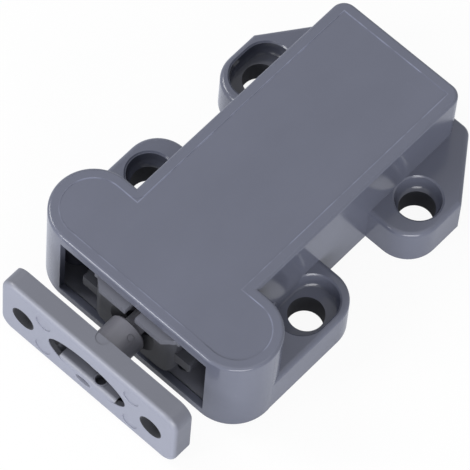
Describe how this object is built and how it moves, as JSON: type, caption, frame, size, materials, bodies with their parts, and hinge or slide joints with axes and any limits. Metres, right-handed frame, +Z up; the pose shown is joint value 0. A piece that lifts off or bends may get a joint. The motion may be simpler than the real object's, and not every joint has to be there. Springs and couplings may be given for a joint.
{
  "type": "push to open catch",
  "caption": "Push-to-open catch: a moulded housing with fixing ears, whose sliding jaws grip the pin of a separate strike plate and let go when it is pushed.",
  "frame": {"origin": "centre of the four fixing holes on the mounting face of the housing", "axes": "+Z up from the mounting face, -Y out of the mouth towards the strike, +X to the right seen from behind the housing's top with the mouth towards the viewer"},
  "size_m": [0.0384, 0.0637, 0.016],
  "materials": {
    "housing_plastic": "smooth moulded, semi-gloss",
    "cover_plastic": "smooth moulded, semi-gloss",
    "carriage_plastic": "smooth moulded",
    "jaw_plastic": "smooth moulded",
    "strike_plastic": "smooth moulded, semi-gloss",
    "strike_pin_plastic": "smooth moulded",
    "pin_steel": "ground",
    "spring_steel": "drawn wire",
    "wire_steel": "drawn wire"
  },
  "bodies": {
    "base": {"housing": "housing_plastic", "base_cover": "cover_plastic", "main_spring": "spring_steel", "latch_wire": "wire_steel", "leaf_spring": "spring_steel"},
    "slider": {"carriage": "carriage_plastic", "jaw_pin_left": "pin_steel", "jaw_pin_right": "pin_steel", "strike_plate": "strike_plastic", "strike_pin": "strike_pin_plastic"},
    "left_jaw": {"jaw_left": "jaw_plastic"},
    "right_jaw": {"jaw_right": "jaw_plastic"}
  },
  "joints": [
    {"name": "carriage_slide", "type": "slide", "parent": "base", "child": "slider", "axis": [0, -1, 0], "range_m": [-0.0012, 0.005], "deforming": ["main_spring", "latch_wire"]},
    {"name": "jaw_right_swing", "type": "hinge", "parent": "slider", "child": "right_jaw", "pos_m": [0.005, -0.0145, 0.0072], "axis": [0, 0, 1], "range_deg": [-2.5, 10.1]},
    {"name": "jaw_left_swing", "type": "hinge", "parent": "slider", "child": "left_jaw", "pos_m": [-0.005, -0.0145, 0.0072], "axis": [0, 0, -1], "range_deg": [-2.5, 10.1]}
  ],
  "couplings": [
    {"joint": "jaw_right_swing", "follows": "carriage_slide", "rad_per_m": 34.907},
    {"joint": "jaw_left_swing", "follows": "carriage_slide", "rad_per_m": 34.907}
  ]
}
